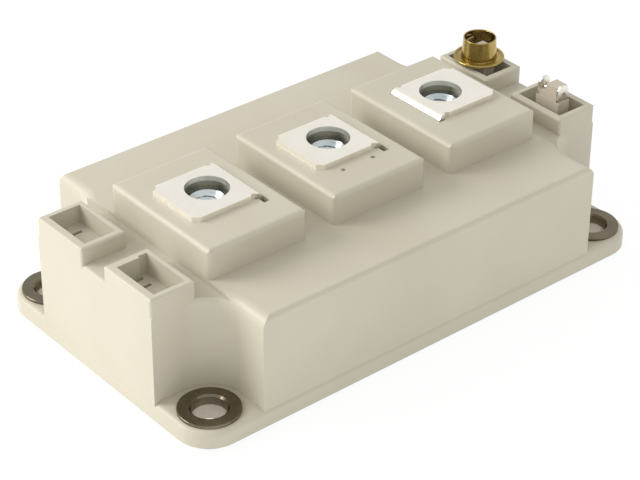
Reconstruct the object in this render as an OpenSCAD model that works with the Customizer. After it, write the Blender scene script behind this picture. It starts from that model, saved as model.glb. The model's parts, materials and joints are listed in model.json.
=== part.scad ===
// Half-bridge transistor power module: flat moulded case on a nickel-plated copper base plate,
// three M6 screw terminals on raised blocks, four blade-terminal pockets at the two ends.
// Frame: +X long axis towards the wired end, +Z up, origin under the middle of the base plate.

/* [Case outline] */
// Overall length over the mounting ears
module_l = 106.4; // [104:0.1:112]
// Overall width over the mounting ears
module_w = 61.4; // [60:0.1:66]
// Height of the main terminal faces above the heat-sink face
terminal_z = 30.5; // [30:0.1:34]
// Height of the shoulder around the terminal blocks
shoulder_z = 23.4; // [22.6:0.1:24.2]
// Height of the low shelf between the end pockets
shelf_z = 22.6; // [21.8:0.1:23.2]
// Height of the pocket rims
pocket_z = 26; // [25.4:0.1:27]
// Top face of the mounting ears
ear_z = 4.4; // [3.9:0.1:5.4]
// General wall thickness of the moulding
wall = 2.4; // [1.8:0.1:2.8]
// Edge rounding of the moulding
edge_r = 0.9; // [0.3:0.1:1.4]

/* [Mounting] */
// Spacing of the mounting holes along the module
hole_dx = 93; // [92:0.1:95]
// Spacing of the mounting holes across the module
hole_dy = 48; // [46:0.1:49]
// Radius of each mounting hole
hole_r = 3.2; // [2.7:0.1:3.4]
// Radius of the hollow corner around each mounting hole
scoop_r = 7; // [6.4:0.1:7.4]
// Outer radius of each bush collar
collar_r = 5.7; // [5.2:0.1:6]
// Height of each bush collar above the ear
collar_h = 0.6; // [0.3:0.1:1]

/* [Base plate] */
// Thickness of the base plate
base_t = 3; // [2.6:0.1:3.4]
// Height of the base plate visible under the case
base_proud = 1; // [0.4:0.1:1.4]
// Step back of the base plate edge from the case edge
base_inset = 1.2; // [0.9:0.1:1.6]

/* [Main terminals] */
// Spacing of the main terminals
pitch = 28; // [27.6:0.1:28.6]
// Length of each terminal block along the module
block_l = 21.7; // [21:0.1:22.4]
// Width of each terminal block across the module
block_w = 28.9; // [27:0.1:31]
// Thickness of the terminal sheet
sheet_t = 1; // [0.8:0.1:1.2]
// Terminal plate from screw axis to free edge
plate_free = 8; // [7.4:0.1:8.4]
// Terminal plate from screw axis to bend face
plate_bend = 6.9; // [6.8:0.1:7.2]
// Width of the terminal plate
plate_w = 13.6; // [12:0.1:15]
// Radius of the clearance hole in each plate
plate_hole_r = 4.1; // [3.2:0.1:4.6]

/* [Nuts] */
// Width across the flats of each nut
nut_af = 10; // [9.6:0.1:10.1]
// Height of each nut
nut_h = 5; // [4:0.1:5.2]
// Bore radius of each nut at the thread crests
nut_bore_r = 2.5; // [2.3:0.05:2.6]
// Radial clearance of each nut in its pocket
nut_clear = 0.1; // [0.05:0.01:0.15]

/* [Blade terminals] */
// Width of each blade
blade_w = 2.8; // [2.4:0.1:2.9]
// Thickness of each blade
blade_t = 0.5; // [0.4:0.1:0.6]
// Height of the blade tips above the heat-sink face
blade_z = 30.1; // [29.4:0.1:30.6]
// Spacing of the two blades of a pair
blade_pitch = 5; // [4.7:0.05:5.05]

/* [Shorting eyelet] */
// Outer radius of the eyelet tube at its open end
eyelet_r = 3.3; // [3.3:0.05:3.5]
// Radius of the eyelet flange
eyelet_flange_r = 5.1; // [4.6:0.05:5.1]
// Length of the eyelet tube above its flange
eyelet_h = 4.2; // [3.9:0.1:5]

/* [Hidden] */
$fn = 48;
eps = 0.01;

// case plan
ear_r = min((module_l - hole_dx) / 2, (module_w - hole_dy) / 2);
ear_edge = 1.2;
end_x = module_l / 2 - 0.2;
side_y = module_w / 2 - 0.35;
body_x = hole_dx / 2 - scoop_r;
end_y = hole_dy / 2 - scoop_r;
lip_r = 2;
hole_x = hole_dx / 2;
hole_y = hole_dy / 2;

// terminal blocks
block_z = terminal_z - sheet_t;
block_dx = -0.65;
block_dy = -1.1;
term_x = [-pitch, 0, pitch];
term_side = [1, 1, -1];
slot_run = [1.7, 1.7, 0.2];
dimple_r = 0.45;
dimple_d = 0.6;
dimple_x = [-4.2, 2.9];
dimple_y = -9.3;

// terminal sheet
plate_y0 = -7.2;
plate_y1 = plate_y0 + plate_w;
bend_r = 1.4;
plate_corner = 1.1;
notch_r = 0.55;
leg_y0 = -4.4;
leg_y1 = 3.6;
neck_z = block_z - 6;
foot_l = 4;
slot_gap = 0.15;

// nut pocket
nut_drop = 1.35;
nut_z = block_z - nut_drop - nut_h;
nut_chamfer_r = nut_bore_r + 0.8;
tip_r = 3.4;
tip_d = 4.2;
tip_z = nut_z - tip_d;
cup_wall = 1.5;
cup_r = nut_af / 2 + 2.3;

// end pockets
pocket_x0 = 43.5;
pocket_y0 = 3.3;
pocket_wall = 1.25;
pocket_end_wall = 1.6;
pocket_edge = 0.5;
floor_z = 21.7;
rear_floor_z = 22.2;
floor_t = 2.2;
key_x = 46.6;
key_t = 0.5;

// blades and holders
blade_x = 48.1;
pair_y = 10.4;
blade_gap = 0.1;
tip_chamfer = 0.7;
eye_r = 0.65;
eye_drop = 2;
blade_foot_z = 13.2;
holder_l = blade_w + 0.2;
holder_skin = 0.25;
holder_z = 26.7;
rib_low_z = 27.9;
rib_high_z = 29.8;

// eyelet
eyelet_wall = 0.3;
eyelet_flare = 0.25;
curl_r = 0.3;

// substrates and chips
back_t = 0.3;
ceramic_t = 0.63;
track_t = 0.3;
chip_t = 0.2;
dcb_l = 33;
dcb_w = 40;
dcb_x = 18.5;
ceramic_z = base_t + back_t;
track_z = ceramic_z + ceramic_t;
chip_z = track_z + track_t;
wire_z = chip_z + chip_t;
dcb_margin = 0.5;
chip_y = 12;
igbt_a = 10;
diode_a = 8;
wire_r = 0.2;
wire_step = 9.5;
igbt_u = [-10.5, 7];
wire_dir = [1, -1];
link_t = 0.8;
link_z = 7;
lead_r = 0.5;
lead_z = 14;
lead_bend = 1.5;
gel_z = 11;

ivory = [0.82, 0.80, 0.74];
nickel = [0.80, 0.78, 0.73];
zinc = [0.72, 0.75, 0.78];
copper = [0.78, 0.46, 0.30];
brass_c = [0.72, 0.56, 0.24];

// ---- shared shapes ----

module round_rect(l, w, r) {
  square([l - 2 * r, w], center = true);
  square([l, w - 2 * r], center = true);
  for (x = [-1, 1], y = [-1, 1]) translate([x * (l / 2 - r), y * (w / 2 - r)]) circle(r);
}

// upright outline with its two top corners rounded
module arch(w, z0, z1, r) {
  translate([-w / 2, z0]) square([w, z1 - z0 - r]);
  translate([-w / 2 + r, z0]) square([w - 2 * r, z1 - z0]);
  for (x = [-1, 1]) translate([x * (w / 2 - r), z1 - r]) circle(r);
}

module along_x(l) translate([-l / 2, 0, 0]) rotate([90, 0, 90]) linear_extrude(l) children();
module along_y(w) translate([0, w / 2, 0]) rotate([90, 0, 0]) linear_extrude(w) children();

module soft_block(l, w, z0, z1, r) {
  intersection() {
    translate([0, 0, z0]) linear_extrude(z1 - z0) round_rect(l, w, r);
    along_y(w) arch(l, z0, z1, r);
    along_x(l) arch(w, z0, z1, r);
  }
}

module box(x0, x1, y0, y1, z0, z1) {
  translate([x0, y0, z0]) cube([x1 - x0, y1 - y0, z1 - z0]);
}

module at_holes() for (x = [-1, 1], y = [-1, 1]) translate([x * hole_x, y * hole_y, 0]) children();

// case plan above the ears, drawn in by a given inset
module plan(inset) {
  square([2 * (body_x - inset), 2 * (side_y - inset)], center = true);
  square([2 * (end_x - inset), 2 * (end_y - inset)], center = true);
  difference() {
    square([hole_dx, hole_dy], center = true);
    for (x = [-1, 1], y = [-1, 1]) translate([x * hole_x, y * hole_y]) circle(scoop_r + inset);
  }
}

// ---- case ----

module ear_disc() {
  rotate_extrude() {
    translate([0, base_proud]) square([ear_r - ear_edge, ear_z - base_proud]);
    translate([0, base_proud]) square([ear_r, ear_z - base_proud - ear_edge]);
    translate([ear_r - ear_edge, ear_z - ear_edge]) circle(ear_edge);
  }
}

module ears() {
  for (x = [-1, 1], y = [-1, 1])
    translate([x * (module_l / 2 - ear_r), y * (module_w / 2 - ear_r), 0]) ear_disc();
  along_y(module_w - 2 * ear_r) arch(module_l, base_proud, ear_z, ear_edge);
  along_x(module_l - 2 * ear_r) arch(module_w, base_proud, ear_z, ear_edge);
}

// rolls the top edge over into the hollow corners
module lip_cut() {
  for (x = [0, 1], y = [0, 1]) mirror([x, 0, 0]) mirror([0, y, 0]) translate([hole_x, hole_y, 0]) {
    intersection() {
      rotate_extrude() lip_profile();
      translate([-scoop_r - lip_r, -scoop_r - lip_r, shelf_z - lip_r])
        cube([scoop_r + lip_r, scoop_r + lip_r, 2 * lip_r + 2]);
    }
    mirror([1, 0, 0]) rotate([90, 0, 0]) mirror([0, 0, 1]) linear_extrude(scoop_r) lip_profile();
  }
}

module lip_profile() {
  difference() {
    translate([scoop_r - eps, shoulder_z - lip_r]) square([lip_r + eps, lip_r + 1]);
    translate([scoop_r + lip_r, shoulder_z - lip_r]) circle(lip_r);
  }
}

module case_body() {
  difference() {
    union() {
      intersection() {
        translate([0, 0, base_proud]) linear_extrude(shoulder_z - base_proud) plan(0);
        along_x(module_l) arch(2 * side_y, base_proud, shoulder_z, edge_r);
        union() {
          box(-body_x, body_x, -module_w, module_w, 0, shoulder_z);
          along_y(module_w) arch(2 * end_x, base_proud, shelf_z, edge_r);
        }
      }
    }
    lip_cut();
  }
}

module pocket_shells() {
  l = end_x - pocket_x0;
  w = end_y - pocket_y0;
  for (x = [-1, 1], y = [-1, 1]) translate([x * (pocket_x0 + l / 2), y * (pocket_y0 + w / 2), 0])
    soft_block(l, w, ear_z - ear_edge, pocket_z, pocket_edge);
}

module blocks() {
  for (x = term_x) translate([x + block_dx, block_dy, 0])
    soft_block(block_l, block_w, shoulder_z - 2 * edge_r, block_z, edge_r);
}

module cavity() {
  roof = shoulder_z - wall;
  translate([0, 0, base_t - eps]) linear_extrude(floor_z - floor_t - base_t) plan(wall);
  translate([0, 0, base_t]) linear_extrude(roof - base_t)
    square([2 * (body_x - wall), 2 * (side_y - wall)], center = true);
  for (x = term_x) translate([x + block_dx, block_dy, 0])
    box(-block_l / 2 + wall, block_l / 2 - wall, -block_w / 2 + wall, block_w / 2 - wall,
      roof - eps, block_z - wall);
}

// square tower under each terminal that holds its nut
module nut_towers() {
  for (i = [0:2]) translate([term_x[i], 0, 0]) mirror([term_side[i] < 0 ? 1 : 0, 0, 0])
    box(-cup_r, plate_bend - sheet_t, -cup_r, cup_r, tip_z - cup_wall, block_z - wall + eps);
}

module nut_pockets() {
  af = nut_af + 2 * nut_clear;
  for (i = [0:2]) translate([term_x[i], 0, 0]) {
    translate([0, 0, nut_z]) rotate([0, 0, 30])
      cylinder(h = block_z - nut_z + 1, r = af / 2 / cos(30), $fn = 6);
    translate([0, 0, tip_z]) cylinder(h = tip_d + eps, r = tip_r);
  }
}

module leg_slots() {
  for (i = [0:2]) translate([term_x[i], 0, 0]) mirror([term_side[i] < 0 ? 1 : 0, 0, 0]) {
    box(plate_bend - sheet_t - slot_gap, plate_bend + slot_gap,
      plate_y0 - slot_gap - slot_run[i], plate_y1 + slot_gap, block_z - wall - 1, block_z + 1);
    box(plate_bend - sheet_t - slot_gap, plate_bend + slot_gap,
      -cup_r - 1, cup_r + 1, tip_z - cup_wall - 1, block_z - wall);
    box(plate_bend - bend_r - slot_gap, plate_bend - sheet_t, plate_y0 - slot_gap,
      plate_y1 + slot_gap, block_z - bend_r, block_z + 1);
  }
}

module pocket_hollow(y0, y1, z) {
  box(pocket_x0 + pocket_wall, end_x - pocket_end_wall, y0, y1, z, pocket_z + 1);
}

module pocket_hollows() {
  y0 = pocket_y0 + pocket_wall;
  y1 = end_y - pocket_wall;
  for (y = [0, 1]) mirror([0, y, 0]) pocket_hollow(y0, y1, floor_z);
  mirror([1, 0, 0]) pocket_hollow(y0, y1, rear_floor_z);
  mirror([1, 0, 0]) mirror([0, 1, 0]) pocket_hollow(y0 + key_t, y1, floor_z);
  mirror([1, 0, 0]) mirror([0, 1, 0])
    box(pocket_x0 + pocket_wall, key_x, y0, y1, floor_z, pocket_z + 1);
}

module blade_slot(x, y) {
  box(x - blade_w / 2 - blade_gap, x + blade_w / 2 + blade_gap, y - blade_t / 2 - blade_gap,
    y + blade_t / 2 + blade_gap, floor_z - floor_t - 1, rear_floor_z + 1);
}

module blade_slots() {
  for (y = [-1, 1], k = [-1, 1]) blade_slot(blade_x, y * (pair_y + k * blade_pitch / 2));
  mirror([1, 0, 0]) for (y = [-7.7, -5.3, 8.2, 13.2]) blade_slot(47.7, y);
}

module housing() {
  color(ivory) difference() {
    union() {
      difference() {
        union() {
          ears();
          case_body();
          pocket_shells();
          blocks();
        }
        cavity();
      }
      nut_towers();
    }
    nut_pockets();
    leg_slots();
    pocket_hollows();
    blade_slots();
    at_holes() translate([0, 0, base_t - 1]) cylinder(h = ear_z, r = collar_r - 1.2);
    translate([0, 0, -1]) linear_extrude(base_t + 1)
      round_rect(module_l - 2 * base_inset, module_w - 2 * base_inset, ear_r - base_inset);
    for (x = dimple_x) translate([x, dimple_y, block_z - dimple_d])
      cylinder(h = dimple_d + 1, r = dimple_r);
  }
}

module base_plate() {
  color(copper) difference() {
    linear_extrude(base_t)
      round_rect(module_l - 2 * base_inset, module_w - 2 * base_inset, ear_r - base_inset);
    at_holes() translate([0, 0, -1]) cylinder(h = base_t + 2, r = hole_r);
  }
}

module bush(x, y) {
  top = ear_z + collar_h;
  color(nickel) translate([x * hole_x, y * hole_y, 0]) rotate_extrude() difference() {
    union() {
      translate([hole_r, base_t]) square([collar_r - 1.2 - hole_r, top - base_t]);
      translate([hole_r, ear_z]) square([collar_r - 0.2 - hole_r, collar_h]);
      translate([hole_r, ear_z]) square([collar_r - hole_r, collar_h - 0.2]);
      translate([collar_r - 0.2, top - 0.2]) circle(0.2);
    }
    polygon([[hole_r - 1, top + 1], [hole_r - 1, top - 0.35], [hole_r, top - 0.35],
      [hole_r + 0.35, top], [hole_r + 0.35, top + 1]]);
  }
}

// ---- main terminals ----

module sheet_section() {
  z = block_z;
  x1 = plate_bend;
  difference() {
    union() {
      translate([-plate_free, z]) square([plate_free + x1 - bend_r, sheet_t]);
      translate([x1 - bend_r, z + sheet_t - bend_r]) circle(bend_r);
      translate([x1 - sheet_t, chip_z]) square([sheet_t, z + sheet_t - bend_r - chip_z]);
      translate([x1 - foot_l, chip_z]) square([foot_l, sheet_t]);
    }
    translate([x1 - bend_r, z + sheet_t - bend_r]) circle(bend_r - sheet_t);
    translate([x1 - 2 * bend_r, z - 2 * bend_r + sheet_t])
      square([bend_r, 2 * bend_r - sheet_t]);
    translate([x1 - 2 * bend_r, z - 2 * bend_r + sheet_t])
      square([2 * bend_r - sheet_t, bend_r]);
  }
}

module terminal(i) {
  zl = chip_z - 1;
  color(nickel) translate([term_x[i], 0, 0]) mirror([term_side[i] < 0 ? 1 : 0, 0, 0])
    difference() {
      translate([0, plate_y1, 0]) rotate([90, 0, 0]) linear_extrude(plate_w) sheet_section();
      translate([0, 0, block_z - 1]) cylinder(h = sheet_t + 2, r = plate_hole_r);
      for (y = [plate_y0, plate_y1]) {
        translate([-plate_free, y, block_z - 1]) rotate([0, 0, 45])
          translate([-plate_corner / sqrt(2), -plate_corner, 0])
            cube([sqrt(2) * plate_corner, 2 * plate_corner, sheet_t + 2]);
        translate([plate_bend - bend_r - notch_r, y, block_z - 1])
          cylinder(h = sheet_t + 2, r = notch_r);
      }
      box(0, 2 * plate_bend, plate_y0 - 1, leg_y0, zl, neck_z);
      box(0, 2 * plate_bend, leg_y1, plate_y1 + 1, zl, neck_z);
    }
}

module nut(i) {
  top_r = nut_af / 2 * 0.95;
  full_r = nut_af / 2 / cos(30);
  cut = (full_r - top_r) * tan(30);
  color(zinc) translate([term_x[i], 0, nut_z]) difference() {
    intersection() {
      rotate([0, 0, 30]) cylinder(h = nut_h, r = full_r, $fn = 6);
      rotate_extrude() polygon([[0, 0], [top_r, 0], [full_r, cut], [full_r, nut_h - cut],
        [top_r, nut_h], [0, nut_h]]);
    }
    translate([0, 0, -1]) cylinder(h = nut_h + 2, r = nut_bore_r);
    for (k = [0, 1]) translate([0, 0, k * nut_h]) mirror([0, 0, k])
      cylinder(h = nut_chamfer_r - nut_bore_r, r1 = nut_chamfer_r, r2 = nut_bore_r);
  }
}

// ---- blade terminals ----

module holder(s) {
  y0 = pair_y - blade_pitch / 2 - blade_t / 2 - holder_skin;
  y1 = pair_y + blade_pitch / 2 + blade_t / 2 + holder_skin;
  inner = s < 0 ? pair_y - blade_pitch / 2 : -pair_y - blade_pitch / 2;
  color(ivory) difference() {
    union() {
      mirror([0, s < 0 ? 1 : 0, 0])
        box(blade_x - holder_l / 2, blade_x + holder_l / 2, y0, y1, floor_z, holder_z);
      translate([0, s * pair_y, 0]) holder_rib();
    }
    for (k = [-1, 1]) blade_shape(s * (pair_y + k * blade_pitch / 2));
  }
}

module holder_rib() {
  y = blade_pitch / 2 - blade_t / 2;
  box(blade_x - blade_w / 2, blade_x + blade_w / 2, -y, y, holder_z - 1, rib_low_z);
  box(blade_x - blade_w / 2, blade_x + blade_w / 2, -y, blade_t, holder_z - 1, rib_high_z);
}

module blade_shape(y) {
  w = blade_w / 2;
  translate([blade_x, y + blade_t / 2, 0]) rotate([90, 0, 0]) linear_extrude(blade_t)
    difference() {
      polygon([[-w, blade_foot_z], [w, blade_foot_z], [w, blade_z - tip_chamfer],
        [w - tip_chamfer, blade_z], [tip_chamfer - w, blade_z], [-w, blade_z - tip_chamfer]]);
      translate([0, blade_z - eye_drop]) circle(eye_r);
    }
}

module blade(y) color(nickel) blade_shape(y);

module shorting_eyelet() {
  r1 = eyelet_r;
  r0 = eyelet_r + eyelet_flare;
  z0 = holder_z;
  z1 = holder_z + eyelet_h + eyelet_wall;
  color(brass_c) translate([blade_x, pair_y, 0]) rotate_extrude() {
    polygon([[r0 - eyelet_wall, z0], [eyelet_flange_r - curl_r, z0],
      [eyelet_flange_r - curl_r, z0 + eyelet_wall], [r0 + 0.1, z0 + eyelet_wall],
      [r0, z0 + 2 * eyelet_wall], [r1, z1], [r1 - eyelet_wall, z1]]);
    translate([eyelet_flange_r - curl_r, z0 + curl_r]) circle(curl_r);
    translate([r1 - eyelet_wall / 2, z1]) circle(eyelet_wall / 2);
  }
}

// ---- inside the case ----

module on_side(s) translate([s * dcb_x, 0, 0]) children();

module back_copper(s) color(copper) on_side(s) translate([0, 0, base_t])
  linear_extrude(back_t) square([dcb_l - 2 * dcb_margin, dcb_w - 2 * dcb_margin], center = true);

module ceramic(s) color([0.93, 0.93, 0.91]) on_side(s) translate([0, 0, ceramic_z])
  linear_extrude(ceramic_t) square([dcb_l, dcb_w], center = true);

module pad(u0, u1, v0, v1) box(u0, u1, v0, v1, track_z, chip_z);

module tracks_left() {
  e = dcb_w / 2 - dcb_margin;
  color(copper) on_side(-1) {
    pad(-16, 4.5, -e, e);
    pad(5.5, 12.8, -e, e);
    pad(13.8, 16, -e, pair_y - 0.4);
    pad(13.8, 16, pair_y + 0.4, e);
  }
}

module tracks_right() {
  e = dcb_w / 2 - dcb_margin;
  color(copper) on_side(1) {
    pad(-7.5, 12.8, -e, e);
    pad(-16, -8.5, -e, -7.5);
    pad(-16, -8.5, -6.6, 6.6);
    pad(-16, -8.5, 7.5, e);
    pad(13.8, 16, -e, -pair_y - 0.4);
    pad(13.8, 16, -pair_y + 0.4, e);
  }
}

module chip(s, y, a, u) color([0.55, 0.56, 0.60]) on_side(s) translate([u, y * chip_y, chip_z])
  linear_extrude(chip_t) square([a, a], center = true);

module igbt(s, y) chip(s, y, igbt_a, igbt_u[s < 0 ? 0 : 1]);
module diode(s, y) chip(s, y, diode_a, igbt_u[s < 0 ? 0 : 1] - s * wire_step);

module wire_arc(u) {
  translate([u, 0, wire_z]) rotate([90, 0, 0])
    rotate_extrude(angle = 180) translate([wire_step / 2, 0]) circle(wire_r, $fn = 24);
}

module bond_wires(s) {
  d = wire_dir[s < 0 ? 0 : 1] * wire_step;
  u = igbt_u[s < 0 ? 0 : 1];
  color([0.82, 0.82, 0.84]) on_side(s) for (y = [-chip_y, chip_y], dy = [-2.4, 0, 2.4])
    translate([0, y + dy, 0]) {
      wire_arc(u + d / 2 - 0.4 * sign(d));
      translate([0, 0.8, 0]) wire_arc(u + 3 * d / 2);
      translate([u + 2 * d, 0.8, chip_z]) cylinder(h = chip_t, r = wire_r, $fn = 24);
    }
}

module bridge(x0, x1, y, w) {
  color(copper) {
    box(x0, x0 + link_t, y - w / 2, y + w / 2, chip_z, link_z);
    box(x0 - 1.2, x0 + link_t, y - w / 2, y + w / 2, chip_z, chip_z + link_t);
    box(x1 - link_t, x1, y - w / 2, y + w / 2, chip_z, link_z);
    box(x1 - link_t, x1 + 1.2, y - w / 2, y + w / 2, chip_z, chip_z + link_t);
    box(x0, x1, y - w / 2, y + w / 2, link_z - link_t, link_z);
  }
}

module link_output() bridge(-dcb_x + 2.6, -dcb_x + 23.2, 18.1, 2.2);
module link_minus() bridge(-dcb_x + 9, dcb_x - 14.6, 5.1, 2.2);

module lead(y, x) {
  color([0.75, 0.2, 0.15]) {
    translate([x + lead_bend, y, lead_z]) rotate([0, 90, 0])
      cylinder(h = blade_x - blade_w / 2 - x - lead_bend, r = lead_r);
    translate([x + lead_bend, y, lead_z - lead_bend]) rotate([90, 0, 0]) rotate([0, 0, 90])
      rotate_extrude(angle = 90) translate([lead_bend, 0]) circle(lead_r);
    translate([x, y, chip_z]) cylinder(h = lead_z - lead_bend - chip_z, r = lead_r);
  }
}

inner_y = pair_y - blade_pitch / 2;
outer_y = pair_y + blade_pitch / 2;
lead_x = dcb_x + 14.9;
far_lead_x = -dcb_x + 14.9;

module gel_fill() {
  color([0.85, 0.88, 0.9, 0.5]) difference() {
    translate([0, 0, base_t]) linear_extrude(gel_z - base_t) plan(wall);
    for (s = [-1, 1]) {
      back_copper(s);
      ceramic(s);
      bond_wires(s);
      for (y = [-1, 1]) {
        igbt(s, y);
        diode(s, y);
      }
    }
    tracks_left();
    tracks_right();
    for (i = [0:2]) terminal(i);
    link_output();
    link_minus();
    for (y = [inner_y, outer_y]) {
      lead(-y, lead_x);
      lead(y, far_lead_x);
    }
  }
}

housing();
base_plate();
bush(-1, -1);  // bush_front_left
bush(1, -1);  // bush_front_right
bush(-1, 1);  // bush_rear_left
bush(1, 1);  // bush_rear_right
terminal(0);  // terminal_1
terminal(1);  // terminal_2
terminal(2);  // terminal_3
nut(0);  // nut_1
nut(1);  // nut_2
nut(2);  // nut_3
holder(-1);  // holder_front
holder(1);  // holder_rear
blade(-inner_y);  // blade_front_inner
blade(-outer_y);  // blade_front_outer
blade(inner_y);  // blade_rear_inner
blade(outer_y);  // blade_rear_outer
shorting_eyelet();
back_copper(-1);  // back_copper_left
back_copper(1);  // back_copper_right
ceramic(-1);  // ceramic_left
ceramic(1);  // ceramic_right
tracks_left();
tracks_right();
igbt(-1, -1);  // igbt_left_front
igbt(-1, 1);  // igbt_left_rear
igbt(1, -1);  // igbt_right_front
igbt(1, 1);  // igbt_right_rear
diode(-1, -1);  // diode_left_front
diode(-1, 1);  // diode_left_rear
diode(1, -1);  // diode_right_front
diode(1, 1);  // diode_right_rear
bond_wires(-1);  // bond_wires_left
bond_wires(1);  // bond_wires_right
link_output();
link_minus();
lead(-inner_y, lead_x);  // lead_front_inner
lead(-outer_y, lead_x);  // lead_front_outer
lead(inner_y, far_lead_x);  // lead_rear_inner
lead(outer_y, far_lead_x);  // lead_rear_outer
gel_fill();
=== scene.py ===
import json
import math

import bmesh
import bpy
from mathutils import Matrix, Vector


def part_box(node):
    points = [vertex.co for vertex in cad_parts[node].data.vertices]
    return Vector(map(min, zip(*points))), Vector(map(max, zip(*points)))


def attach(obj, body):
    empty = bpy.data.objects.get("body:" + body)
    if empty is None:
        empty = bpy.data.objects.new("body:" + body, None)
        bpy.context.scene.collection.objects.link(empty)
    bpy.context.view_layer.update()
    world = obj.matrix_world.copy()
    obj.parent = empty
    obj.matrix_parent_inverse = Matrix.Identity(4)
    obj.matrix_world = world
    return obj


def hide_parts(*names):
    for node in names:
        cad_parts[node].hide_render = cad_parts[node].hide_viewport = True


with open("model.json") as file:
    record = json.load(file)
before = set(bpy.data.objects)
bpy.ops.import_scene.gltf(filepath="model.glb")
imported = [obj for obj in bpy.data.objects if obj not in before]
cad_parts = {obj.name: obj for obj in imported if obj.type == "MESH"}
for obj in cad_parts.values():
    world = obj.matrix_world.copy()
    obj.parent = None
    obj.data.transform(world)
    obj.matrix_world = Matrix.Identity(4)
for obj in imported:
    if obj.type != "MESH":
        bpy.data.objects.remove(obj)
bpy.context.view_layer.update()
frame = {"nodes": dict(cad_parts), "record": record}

MM = 0.001
NODES = frame["nodes"]
WHITE = (1, 1, 1, 1)


# ---- node helpers ----

class Graph:
    """A material being made: a Principled shader and the textures that feed it.

    Texture scales are per metre of the object's own coordinates. In keyword names an
    underscore stands for the space in a socket's name.
    """

    def __init__(self, name):
        self.mat = bpy.data.materials.new(name)
        self.mat.use_nodes = True
        self.tree = self.mat.node_tree
        self.tree.nodes.clear()
        self.out = self.node("OutputMaterial")
        self.bsdf = self.node("BsdfPrincipled")
        self.link(self.bsdf.outputs[0], self.out.inputs["Surface"])
        self.coord = self.node("TexCoord").outputs["Object"]
        self.normal = None

    def node(self, kind, **values):
        node = self.tree.nodes.new("ShaderNode" + kind)
        for key, value in values.items():
            node.inputs[key.replace("_", " ")].default_value = value
        return node

    def link(self, source, target):
        self.tree.links.new(source, target)

    def set(self, **values):
        for key, value in values.items():
            self.bsdf.inputs[key.replace("_", " ")].default_value = value

    def stretched(self, scale):
        mapping = self.node("Mapping", Scale=scale)
        self.link(self.coord, mapping.inputs["Vector"])
        return mapping.outputs[0]

    def noise(self, scale, detail, rough=0.5, vector=None):
        noise = self.node("TexNoise", Scale=scale, Detail=detail, Roughness=rough)
        self.link(vector or self.coord, noise.inputs["Vector"])
        return noise.outputs["Fac"]

    def cells(self, scale):
        voronoi = self.node("TexVoronoi", Scale=scale)
        self.link(self.coord, voronoi.inputs["Vector"])
        return voronoi.outputs["Distance"]

    def span(self, value, lo, hi, start=0.35, end=0.65):
        """Map start..end to lo..hi, held at both ends."""
        ranged = self.node("MapRange", From_Min=start, From_Max=end, To_Min=lo, To_Max=hi)
        self.link(value, ranged.inputs["Value"])
        return ranged.outputs[0]

    def mix(self, share, a, b):
        """Blend two colours, each a socket or an RGB tuple."""
        mix = self.tree.nodes.new("ShaderNodeMix")
        mix.data_type = "RGBA"
        sockets = [socket for socket in mix.inputs if socket.enabled]
        for value, socket in zip((share, a, b), sockets):
            if isinstance(value, bpy.types.NodeSocket):
                self.link(value, socket)
            else:
                socket.default_value = (*value, 1)
        return next(socket for socket in mix.outputs if socket.enabled)

    def colour(self, socket):
        self.link(socket, self.bsdf.inputs["Base Color"])

    def roughness(self, socket):
        self.link(socket, self.bsdf.inputs["Roughness"])

    def bump(self, height, strength, distance):
        """Lay a bump, its distance in metres, over the bumps already there."""
        bump = self.node("Bump", Strength=strength, Distance=distance)
        self.link(height, bump.inputs["Height"])
        if self.normal:
            self.link(self.normal, bump.inputs["Normal"])
        self.normal = bump.outputs[0]
        self.link(self.normal, self.bsdf.inputs["Normal"])


# ---- materials ----

def plastic(name, dark, light, rough):
    """Glass-filled moulding: soft patches of tone, short pale fibres and a fine grain."""
    g = Graph(name)
    patches = g.noise(scale=45, detail=2)
    fibre = g.noise(scale=1, detail=4, rough=0.7, vector=g.stretched((900, 2600, 2600)))
    tone = g.mix(g.span(patches, 0, 1), dark, light)
    pale = tuple(min(1, channel * 1.06) for channel in light)
    g.colour(g.mix(g.span(fibre, 0, 0.5, start=0.55, end=0.8), tone, pale))
    g.roughness(g.span(fibre, rough - 0.06, rough + 0.08))
    g.bump(g.noise(scale=5200, detail=2, rough=0.6), strength=0.12, distance=0.00003)
    g.bump(fibre, strength=0.1, distance=0.00004)
    g.set(IOR=1.5, Specular_IOR_Level=0.42)
    return g.mat


def metal(name, dark, light, rough, grain, streak):
    """Metal with fine lines drawn out along its grain, and stains that shift its tone."""
    g = Graph(name)
    g.set(Metallic=1.0)
    lines = g.noise(scale=streak, detail=4, rough=0.6, vector=g.stretched(grain))
    stain = g.noise(scale=170, detail=3, rough=0.6)
    g.colour(g.mix(g.span(stain, 0, 1, start=0.3, end=0.75), dark, light))
    g.roughness(g.span(lines, rough - 0.06, rough + 0.1))
    g.bump(lines, strength=0.25, distance=0.00001)
    return g.mat


def ceramic():
    g = Graph("substrate_ceramic")
    grain = g.noise(scale=3500, detail=3)
    g.colour(g.mix(g.span(grain, 0, 1), (0.80, 0.80, 0.77), (0.88, 0.88, 0.86)))
    g.roughness(g.span(grain, 0.5, 0.62))
    g.bump(grain, strength=0.1, distance=0.00001)
    return g.mat


def silicon():
    g = Graph("chip_silicon")
    g.set(Metallic=0.7)
    cells = g.cells(scale=2500)
    g.colour(g.mix(g.span(cells, 0, 1, start=0, end=0.4), (0.30, 0.31, 0.35), (0.50, 0.51, 0.55)))
    g.roughness(g.span(cells, 0.16, 0.3, start=0, end=0.5))
    g.bump(cells, strength=0.05, distance=0.00001)
    return g.mat


def lead_cover():
    g = Graph("lead_cover")
    skin = g.noise(scale=2600, detail=3)
    g.colour(g.mix(g.span(skin, 0, 1), (0.42, 0.07, 0.05), (0.52, 0.10, 0.07)))
    g.roughness(g.span(skin, 0.4, 0.55))
    g.bump(skin, strength=0.1, distance=0.00002)
    return g.mat


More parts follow.
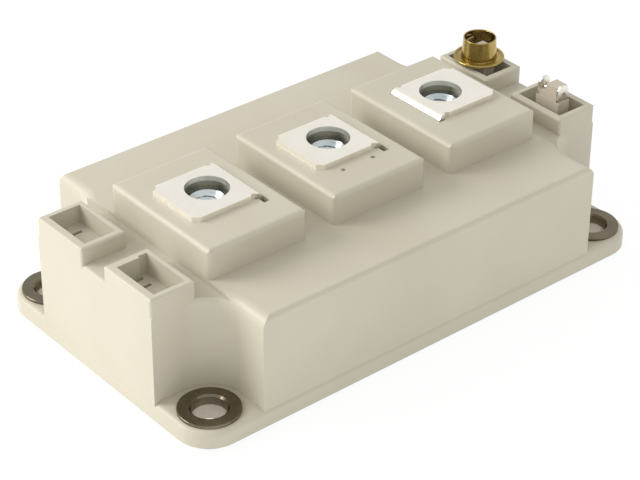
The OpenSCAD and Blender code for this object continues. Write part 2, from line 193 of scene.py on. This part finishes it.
def gel():
    g = Graph("gel")
    cloud = g.noise(scale=120, detail=2)
    g.colour(g.mix(g.span(cloud, 0, 1), (0.80, 0.84, 0.86), (0.88, 0.90, 0.90)))
    g.roughness(g.span(cloud, 0.12, 0.22))
    g.bump(g.noise(scale=300, detail=2), strength=0.1, distance=0.00005)
    g.set(Alpha=0.45, IOR=1.4)
    return g.mat


# One material for each of the record's slots: darkest tone, lightest tone, roughness.
MAT = {
    "case": plastic("case_ivory", (0.53, 0.495, 0.40), (0.56, 0.525, 0.43), rough=0.42),
    "holder": plastic("holder_ivory", (0.50, 0.445, 0.36), (0.56, 0.50, 0.41), rough=0.4),
    "nickel_plate": metal("nickel_plate", (0.62, 0.57, 0.49), (0.70, 0.66, 0.58),
                          rough=0.34, grain=(1, 12, 12), streak=700),
    # bush_nickel's dark tones are a painted dark reflection of the shaded surroundings the ring
    # mirrors, not the nickel's own colour; the stain noise between them is random tone
    "bush_nickel": metal("bush_nickel", (0.15, 0.13, 0.09), (0.22, 0.19, 0.14),
                         rough=0.2, grain=(1, 1, 6), streak=600),
    "terminal_nickel": metal("terminal_nickel", (0.93, 0.90, 0.82), (0.98, 0.95, 0.88),
                             rough=0.4, grain=(1, 7, 1), streak=900),
    "zinc": metal("zinc", (0.50, 0.56, 0.58), (0.72, 0.78, 0.80),
                  rough=0.2, grain=(1, 1, 3), streak=1200),
    "blade_tin": metal("blade_tin", (0.72, 0.70, 0.64), (0.84, 0.82, 0.77),
                       rough=0.22, grain=(8, 8, 1), streak=900),
    "eyelet_brass": metal("eyelet_brass", (0.30, 0.21, 0.06), (0.52, 0.40, 0.15),
                          rough=0.22, grain=(14, 14, 1), streak=300),
    "copper": metal("bare_copper", (0.66, 0.34, 0.22), (0.80, 0.46, 0.31),
                    rough=0.32, grain=(1, 9, 1), streak=700),
    "bond_wire": metal("bond_wire", (0.74, 0.74, 0.76), (0.84, 0.84, 0.86),
                       rough=0.22, grain=(1, 1, 9), streak=2000),
    "substrate": ceramic(),
    "chip": silicon(),
    "lead_cover": lead_cover(),
    "gel": gel(),
}

for part in frame["record"]["subparts"]:
    for material_slot in NODES[part["node"]].material_slots:
        material_slot.link = "OBJECT"
        material_slot.material = MAT[part["material_slot"]]


# ---- nuts with their threads ----

THREAD_CREST, THREAD_ROOT, BORE_MOUTH = 2.5 * MM, 2.95 * MM, 3.3 * MM  # radii
THREAD_PITCH = 1.0 * MM
FACE_SHARE = 0.95  # the flat face's radius, as a share of half the width across flats
COLUMNS = 72
BORE_STEPS = 100
OUTER_ROWS = (0, 0.02, 0.05, 0.09, 0.14, 0.5, 0.86, 0.91, 0.95, 0.98, 1)  # shares, top down


def nut(index):
    """Closed ring of quads: threaded bore, chamfered faces and hexagon, built in polar rows."""
    node = f"nut_{index}"
    lo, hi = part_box(node)
    centre_x, centre_y = (lo[0] + hi[0]) / 2, (lo[1] + hi[1]) / 2
    height = hi[2] - lo[2]
    flat = (hi[0] - lo[0]) / 2
    face = FACE_SHARE * flat

    def bore(angle, z):
        phase = (z / THREAD_PITCH - angle / math.tau) % 1
        thread = THREAD_CREST + (THREAD_ROOT - THREAD_CREST) * (1 - abs(2 * phase - 1))
        return max(thread, BORE_MOUTH - z, BORE_MOUTH - (height - z))

    def hexagon(angle, z):
        turn = (angle + math.pi / 6) % (math.pi / 3) - math.pi / 6
        return min(flat / math.cos(turn), face + math.sqrt(3) * min(z, height - z))

    rows = [(bore, height * step / BORE_STEPS) for step in range(BORE_STEPS + 1)]
    rows += [(hexagon, height * (1 - share)) for share in OUTER_ROWS]
    bm = bmesh.new()
    grid = []
    for radius, z in rows:
        ring = []
        for column in range(COLUMNS):
            angle = math.tau * column / COLUMNS
            r = radius(angle, z)
            x, y = centre_x + r * math.cos(angle), centre_y + r * math.sin(angle)
            ring.append(bm.verts.new((x, y, lo[2] + z)))
        grid.append(ring)
    for row, above in zip(grid, grid[1:] + grid[:1]):
        for c in range(COLUMNS):
            d = (c + 1) % COLUMNS
            bm.faces.new((row[c], above[c], above[d], row[d]))
    bmesh.ops.recalc_face_normals(bm, faces=bm.faces)
    mesh = bpy.data.meshes.new(f"threaded_nut_{index}")
    bm.to_mesh(mesh)
    bm.free()
    mesh.materials.append(MAT["zinc"])
    piece = bpy.data.objects.new(f"threaded_nut_{index}", mesh)
    bpy.context.scene.collection.objects.link(piece)
    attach(piece, "root")
    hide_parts(node)


for number in (1, 2, 3):
    nut(number)


# ---- camera ----

# Fitted to the photograph: angles in degrees, focal length in its pixels, lengths in mm.
AZIMUTH, ELEVATION, ROLL = -39.995, 32.82, 0.379
FOCAL_PIXELS, IMAGE_PIXELS = 2176.5, 640
SENSOR_WIDTH = 36
TARGET, DISTANCE = (0, 0, 12), 410.67
OFF_LEFT, OFF_DOWN = 1.395, 3.334
NEAREST, FARTHEST = 0.01, 20  # metres


def camera():
    az, el, roll = math.radians(AZIMUTH), math.radians(ELEVATION), math.radians(ROLL)
    back = Vector((math.sin(az) * math.cos(el), -math.cos(az) * math.cos(el), math.sin(el)))
    level_right = Vector((math.cos(az), math.sin(az), 0))
    level_up = back.cross(level_right)
    right = math.cos(roll) * level_right + math.sin(roll) * level_up
    up = -math.sin(roll) * level_right + math.cos(roll) * level_up
    place = Vector(TARGET) - OFF_LEFT * right - OFF_DOWN * up + DISTANCE * back
    data = bpy.data.cameras.new("camera")
    data.sensor_width = SENSOR_WIDTH
    data.lens = FOCAL_PIXELS * SENSOR_WIDTH / IMAGE_PIXELS
    data.clip_start = NEAREST
    data.clip_end = FARTHEST
    cam = bpy.data.objects.new("camera", data)
    bpy.context.scene.collection.objects.link(cam)
    matrix = Matrix((right, up, back)).transposed().to_4x4()
    matrix.translation = place * MM
    cam.matrix_world = matrix
    bpy.context.scene.camera = cam


camera()


# ---- studio ----

FLOOR_RADIUS, FLOOR_SIDES = 4.0, 64
FLOOR_DROP = 0.00005  # below the base, so that the two faces never coincide
FLOOR_GLOW = 0.26
FLOOR_WHITE = 0.9  # share of plain white in what the camera sees; the rest keeps the shadow
WORLD_LIGHT, WORLD_COLOUR = 0.84, (1, 0.99, 0.97, 1)
KEY_PLACE, KEY_TARGET = (-0.36, 0.27, 0.27), (0, 0, 0.012)
KEY_SIZE, KEY_POWER, KEY_COLOUR = 0.3, 1.7, (1, 0.985, 0.955)


def floor():
    mesh = bpy.data.meshes.new("floor")
    bm = bmesh.new()
    bmesh.ops.create_circle(bm, cap_ends=True, segments=FLOOR_SIDES, radius=FLOOR_RADIUS)
    bm.to_mesh(mesh)
    bm.free()
    ob = bpy.data.objects.new("floor", mesh)
    ob.location.z = -FLOOR_DROP
    bpy.context.scene.collection.objects.link(ob)
    g = Graph("floor_pale")
    cloud = g.noise(scale=3, detail=2)
    g.colour(g.mix(g.span(cloud, 0, 1), (0.90, 0.90, 0.90), (0.92, 0.92, 0.92)))
    g.set(Roughness=0.9, Specular_IOR_Level=0.1)
    g.set(Emission_Color=WHITE, Emission_Strength=FLOOR_GLOW)
    glow = g.node("Emission", Color=WHITE, Strength=1.0)
    path = g.node("LightPath")
    blend = g.node("MixShader")
    share = g.span(path.outputs["Is Camera Ray"], 0, FLOOR_WHITE, start=0, end=1)
    g.link(share, blend.inputs[0])
    g.link(g.bsdf.outputs[0], blend.inputs[1])
    g.link(glow.outputs[0], blend.inputs[2])
    g.link(blend.outputs[0], g.out.inputs["Surface"])
    mesh.materials.append(g.mat)


def surroundings():
    """Light from all round, which the camera sees as plain white."""
    world = bpy.data.worlds.new("studio")
    bpy.context.scene.world = world
    world.use_nodes = True
    tree = world.node_tree
    tree.nodes.clear()
    out = tree.nodes.new("ShaderNodeOutputWorld")
    path = tree.nodes.new("ShaderNodeLightPath")
    seen = tree.nodes.new("ShaderNodeBackground")
    seen.inputs["Strength"].default_value = 1.0
    seen.inputs["Color"].default_value = WHITE
    lit = tree.nodes.new("ShaderNodeBackground")
    lit.inputs["Strength"].default_value = WORLD_LIGHT
    lit.inputs["Color"].default_value = WORLD_COLOUR
    mix = tree.nodes.new("ShaderNodeMixShader")
    tree.links.new(path.outputs["Is Camera Ray"], mix.inputs[0])
    tree.links.new(lit.outputs[0], mix.inputs[1])
    tree.links.new(seen.outputs[0], mix.inputs[2])
    tree.links.new(mix.outputs[0], out.inputs["Surface"])


def key_light():
    light = bpy.data.lights.new("key_left", "AREA")
    light.shape = "DISK"
    light.size = KEY_SIZE
    light.energy = KEY_POWER
    light.color = KEY_COLOUR
    lamp = bpy.data.objects.new("key_left", light)
    lamp.location = KEY_PLACE
    aim = Vector(KEY_TARGET) - Vector(KEY_PLACE)
    lamp.rotation_euler = aim.to_track_quat("-Z", "Y").to_euler()
    bpy.context.scene.collection.objects.link(lamp)


floor()
surroundings()
key_light()
bpy.context.scene.view_settings.view_transform = "Standard"
